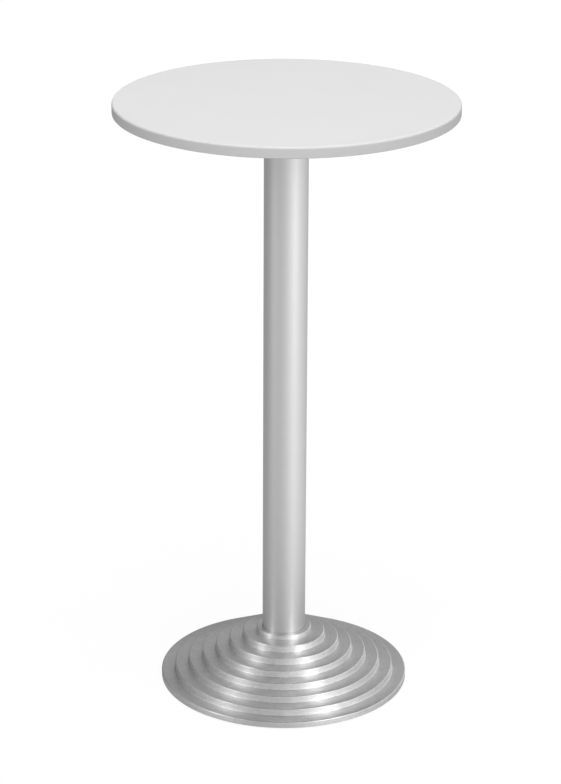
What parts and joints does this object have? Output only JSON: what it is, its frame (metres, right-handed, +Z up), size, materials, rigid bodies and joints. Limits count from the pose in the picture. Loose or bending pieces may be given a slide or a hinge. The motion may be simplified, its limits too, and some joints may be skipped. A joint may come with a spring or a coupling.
{
  "type": "pub table",
  "caption": "Round bar-height pedestal table: flat lacquered top with rounded edge, plain aluminium column, stepped round aluminium base with screw feet.",
  "frame": {"origin": "on the floor, on the axis of the column, level with the undersides of the foot pads", "axes": "+Z up along the column; X and Y lie along the arms of the spider; the feet stand at 45 degrees to them"},
  "size_m": [0.5999, 0.6, 1.09],
  "materials": {
    "lacquered_board": "smooth matt light grey lacquer",
    "satin_aluminium_tube": "satin, finely brushed round the tube",
    "turned_aluminium": "turned and brushed, satin",
    "black_iron": "black powder coat over a cast surface",
    "zinc_steel": "zinc plated",
    "black_plastic": "moulded, matt"
  },
  "bodies": {
    "table": {"table_top": "lacquered_board", "top_spider": "black_iron", "spider_screws": "zinc_steel", "column_tube": "satin_aluminium_tube", "tie_rod": "zinc_steel", "rod_nut_top": "zinc_steel", "rod_washer_top": "zinc_steel", "rod_nut_bottom": "zinc_steel", "clamp_washer": "zinc_steel", "column_collar": "turned_aluminium", "base_casting": "turned_aluminium", "ballast_ring": "black_iron", "ballast_bolts": "zinc_steel", "ballast_washers": "zinc_steel"},
    "foot_pad_back_right": {"foot_pad_back_right": "black_plastic"},
    "foot_stem_back_right": {"foot_stem_back_right": "zinc_steel"},
    "foot_pad_back_left": {"foot_pad_back_left": "black_plastic"},
    "foot_stem_back_left": {"foot_stem_back_left": "zinc_steel"},
    "foot_pad_front_left": {"foot_pad_front_left": "black_plastic"},
    "foot_stem_front_left": {"foot_stem_front_left": "zinc_steel"},
    "foot_pad_front_right": {"foot_pad_front_right": "black_plastic"},
    "foot_stem_front_right": {"foot_stem_front_right": "zinc_steel"}
  },
  "joints": [
    {"name": "foot_slide_back_right", "type": "slide", "parent": "table", "child": "foot_pad_back_right", "axis": [0, 0, -1], "range_m": [0, 0.005]},
    {"name": "foot_turn_back_right", "type": "hinge", "parent": "foot_pad_back_right", "child": "foot_stem_back_right", "pos_m": [0.12728, 0.12728, 0.01], "axis": [0, 0, -1], "range_deg": [0, 1440]},
    {"name": "foot_slide_back_left", "type": "slide", "parent": "table", "child": "foot_pad_back_left", "axis": [0, 0, -1], "range_m": [0, 0.005]},
    {"name": "foot_turn_back_left", "type": "hinge", "parent": "foot_pad_back_left", "child": "foot_stem_back_left", "pos_m": [-0.12728, 0.12728, 0.01], "axis": [0, 0, -1], "range_deg": [0, 1440]},
    {"name": "foot_slide_front_left", "type": "slide", "parent": "table", "child": "foot_pad_front_left", "axis": [0, 0, -1], "range_m": [0, 0.005]},
    {"name": "foot_turn_front_left", "type": "hinge", "parent": "foot_pad_front_left", "child": "foot_stem_front_left", "pos_m": [-0.12728, -0.12728, 0.01], "axis": [0, 0, -1], "range_deg": [0, 1440]},
    {"name": "foot_slide_front_right", "type": "slide", "parent": "table", "child": "foot_pad_front_right", "axis": [0, 0, -1], "range_m": [0, 0.005]},
    {"name": "foot_turn_front_right", "type": "hinge", "parent": "foot_pad_front_right", "child": "foot_stem_front_right", "pos_m": [0.12728, -0.12728, 0.01], "axis": [0, 0, -1], "range_deg": [0, 1440]}
  ],
  "couplings": [
    {"joint": "foot_slide_back_right", "follows": "foot_turn_back_right", "m_per_rad": 0.00019894},
    {"joint": "foot_slide_back_left", "follows": "foot_turn_back_left", "m_per_rad": 0.00019894},
    {"joint": "foot_slide_front_left", "follows": "foot_turn_front_left", "m_per_rad": 0.00019894},
    {"joint": "foot_slide_front_right", "follows": "foot_turn_front_right", "m_per_rad": 0.00019894}
  ]
}
